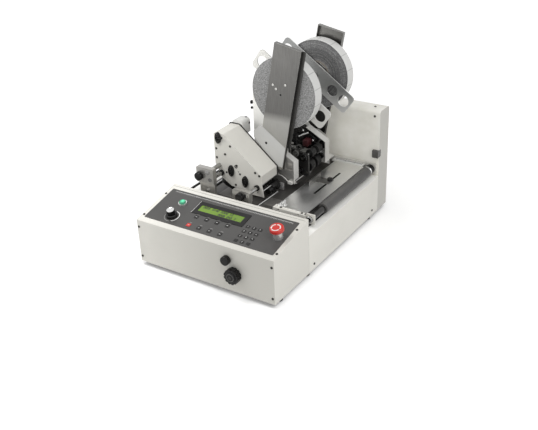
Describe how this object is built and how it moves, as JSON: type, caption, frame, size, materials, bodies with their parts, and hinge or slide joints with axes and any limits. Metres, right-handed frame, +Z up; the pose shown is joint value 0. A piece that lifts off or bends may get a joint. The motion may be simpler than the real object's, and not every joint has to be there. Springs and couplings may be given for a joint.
{
  "type": "booklet tabbing machine",
  "caption": "Tabletop tabbing machine: sloped control console, roller transport, paired tab rolls on steel uprights and a tall rear cabinet; seals folded booklets with adhesive tabs.",
  "frame": {"origin": "middle of the footprint, on the table under the rubber feet", "axes": "+Y from the control console towards the rear cabinet, +X to the right of someone at the console (the way booklets leave), +Z up"},
  "size_m": [0.4736, 0.712, 0.6168],
  "materials": {
    "body_paint": "satin powder coat",
    "sheet_steel": "brushed stainless",
    "polished_steel": "polished stainless",
    "dark_steel": "black satin",
    "bar_steel": "satin grey",
    "bar_white": "white satin",
    "aluminium": "machined",
    "black_plastic": "fine matt",
    "overlay_film": "matt printed film",
    "display_frame": "satin black",
    "display_window": "clear window over a yellow-green character display",
    "red_plastic": "gloss",
    "green_lens": "lit lens",
    "collar_chrome": "bright",
    "screw_steel": "blackened",
    "rubber": "matt",
    "roll_paper": "wound liner with tabs",
    "motor_paint": "black painted",
    "board_green": "solder mask"
  },
  "bodies": {
    "base": {"console_housing": "body_paint", "right_side_cover": "body_paint", "left_side_cover": "body_paint", "rear_cabinet": "body_paint", "cabinet_back_panel": "body_paint", "base_pan": "sheet_steel", "clamp_brackets": "sheet_steel", "exit_plate_bracket": "sheet_steel", "exit_plate": "polished_steel", "guide_rods": "polished_steel", "transport_deck": "dark_steel", "front_frame_plate": "aluminium", "rear_frame_plate": "aluminium", "corner_latch": "black_plastic", "power_inlet": "black_plastic", "roller_bearings": "black_plastic", "control_overlay": "overlay_film", "display_unit": "display_frame", "display_glass": "display_window", "panel_collars": "collar_chrome", "panel_screws": "screw_steel", "rubber_feet": "rubber", "drive_belts": "rubber", "drive_motor": "motor_paint", "control_board": "board_green"},
    "hand_drive": {"hand_wheel": "black_plastic", "drive_shaft": "polished_steel"},
    "exit_roller": {"exit_roller": "rubber", "exit_roller_shaft": "polished_steel"},
    "motor_drive": {"motor_pulley": "polished_steel"},
    "transport_roller": {"transport_roller": "rubber"},
    "front_carriage": {"feeder_housing": "body_paint", "feeder_back_plate": "dark_steel", "feeder_inner_cover": "sheet_steel", "feeder_bearings": "black_plastic", "carriage_screws": "screw_steel", "front_channel": "sheet_steel", "front_head_plates": "sheet_steel", "front_spindle": "aluminium"},
    "rear_carriage": {"rear_channel": "sheet_steel", "rear_head_plates": "sheet_steel", "rear_spindle": "aluminium"},
    "feed_roller_middle": {"feed_roller_middle": "rubber"},
    "feed_roller_low": {"feed_roller_low": "rubber"},
    "front_roll": {"front_tab_roll": "roll_paper"},
    "rear_roll": {"rear_tab_roll": "roll_paper"},
    "front_bar": {"front_retaining_bar": "bar_white"},
    "rear_bar": {"rear_retaining_bar": "bar_steel"},
    "press_shaft": {"cross_shaft": "polished_steel", "press_rollers": "rubber"},
    "fold_roller": {"fold_roller": "rubber"},
    "speed_knob": {"speed_knob": "black_plastic"},
    "start_button": {"start_button": "green_lens"},
    "estop": {"estop_head": "red_plastic"},
    "tension_knob": {"tension_knob": "black_plastic"},
    "left_clamp": {"left_clamp_knob": "black_plastic"},
    "middle_clamp": {"middle_clamp_knob": "black_plastic"},
    "power_rocker": {"power_rocker": "black_plastic"},
    "slot_guide": {"slot_guide": "sheet_steel"},
    "thumb_nut": {"slot_thumb_nut": "black_plastic"}
  },
  "joints": [
    {"name": "hand_wheel_turn", "type": "hinge", "parent": "base", "child": "hand_drive", "pos_m": [0.107, -0.356, 0.073], "axis": [0, 1, 0], "continuous": true},
    {"name": "exit_roller_turn", "type": "hinge", "parent": "base", "child": "exit_roller", "pos_m": [0.214, -0.034, 0.164], "axis": [0, 1, 0], "continuous": true},
    {"name": "motor_turn", "type": "hinge", "parent": "base", "child": "motor_drive", "pos_m": [-0.01, 0.2667, 0.073], "axis": [0, 1, 0], "continuous": true},
    {"name": "transport_roller_turn", "type": "hinge", "parent": "base", "child": "transport_roller", "pos_m": [-0.025, -0.074, 0.154], "axis": [0, 1, 0], "continuous": true},
    {"name": "front_carriage_slide", "type": "slide", "parent": "base", "child": "front_carriage", "axis": [0, 1, 0], "range_m": [-0.01, 0.02]},
    {"name": "rear_carriage_slide", "type": "slide", "parent": "base", "child": "rear_carriage", "axis": [0, 1, 0], "range_m": [-0.02, 0.003]},
    {"name": "feed_roller_middle_turn", "type": "hinge", "parent": "front_carriage", "child": "feed_roller_middle", "pos_m": [-0.074, -0.074, 0.237], "axis": [0, 1, 0], "continuous": true},
    {"name": "feed_roller_low_turn", "type": "hinge", "parent": "front_carriage", "child": "feed_roller_low", "pos_m": [-0.025, -0.074, 0.212], "axis": [0, 1, 0], "continuous": true},
    {"name": "front_roll_turn", "type": "hinge", "parent": "front_carriage", "child": "front_roll", "pos_m": [0.051, 0.028, 0.466], "axis": [0, 1, 0], "continuous": true},
    {"name": "rear_roll_turn", "type": "hinge", "parent": "rear_carriage", "child": "rear_roll", "pos_m": [0.051, 0.258, 0.466], "axis": [0, 1, 0], "continuous": true},
    {"name": "front_bar_slide", "type": "slide", "parent": "front_carriage", "child": "front_bar", "axis": [0, 1, 0], "range_m": [0, 0.03]},
    {"name": "rear_bar_slide", "type": "slide", "parent": "rear_carriage", "child": "rear_bar", "axis": [0, -1, 0], "range_m": [0, 0.03]},
    {"name": "press_shaft_turn", "type": "hinge", "parent": "base", "child": "press_shaft", "pos_m": [0.085, 0.143, 0.252], "axis": [0, 1, 0], "continuous": true},
    {"name": "fold_roller_turn", "type": "hinge", "parent": "base", "child": "fold_roller", "pos_m": [0.075, 0.143, 0.209], "axis": [0, 1, 0], "continuous": true},
    {"name": "speed_knob_turn", "type": "hinge", "parent": "base", "child": "speed_knob", "pos_m": [-0.143, -0.28109, 0.16263], "axis": [0, -0.2044, 0.9789], "range_deg": [-135, 135]},
    {"name": "start_button_press", "type": "slide", "parent": "base", "child": "start_button", "axis": [0, 0.2044, -0.9789], "range_m": [0, 0.003], "stiffness_N_per_m": 400, "springref_m": -0.002},
    {"name": "estop_press", "type": "slide", "parent": "base", "child": "estop", "axis": [0, 0.2044, -0.9789], "range_m": [0, 0.005], "stiffness_N_per_m": 1500, "springref_m": -0.003},
    {"name": "tension_knob_turn", "type": "hinge", "parent": "base", "child": "tension_knob", "pos_m": [0.084, -0.332, 0.114], "axis": [0, 1, 0], "range_deg": [-150, 150]},
    {"name": "left_clamp_turn", "type": "hinge", "parent": "base", "child": "left_clamp", "pos_m": [-0.146, -0.135, 0.231], "axis": [0, 1, 0], "range_deg": [0, 270]},
    {"name": "middle_clamp_turn", "type": "hinge", "parent": "base", "child": "middle_clamp", "pos_m": [-0.001, -0.135, 0.196], "axis": [0, 1, 0], "range_deg": [0, 270]},
    {"name": "power_rocker_tilt", "type": "hinge", "parent": "base", "child": "power_rocker", "pos_m": [0.2, 0.353, 0.074], "axis": [1, 0, 0], "range_deg": [0, 8]},
    {"name": "slot_guide_slide", "type": "slide", "parent": "base", "child": "slot_guide", "axis": [0, 1, 0], "range_m": [-0.09, 0.06]},
    {"name": "thumb_nut_turn", "type": "hinge", "parent": "slot_guide", "child": "thumb_nut", "pos_m": [0.155, 0.116, 0.174], "axis": [0, 0, 1], "range_deg": [0, 300]}
  ],
  "couplings": [
    {"joint": "exit_roller_turn", "follows": "hand_wheel_turn", "ratio": 1},
    {"joint": "motor_turn", "follows": "hand_wheel_turn", "ratio": 1},
    {"joint": "transport_roller_turn", "follows": "hand_wheel_turn", "ratio": 1.28},
    {"joint": "feed_roller_middle_turn", "follows": "hand_wheel_turn", "ratio": -0.7619},
    {"joint": "feed_roller_low_turn", "follows": "hand_wheel_turn", "ratio": -0.66667},
    {"joint": "fold_roller_turn", "follows": "hand_wheel_turn", "ratio": -0.8},
    {"joint": "press_shaft_turn", "follows": "hand_wheel_turn", "ratio": 1.2308}
  ]
}
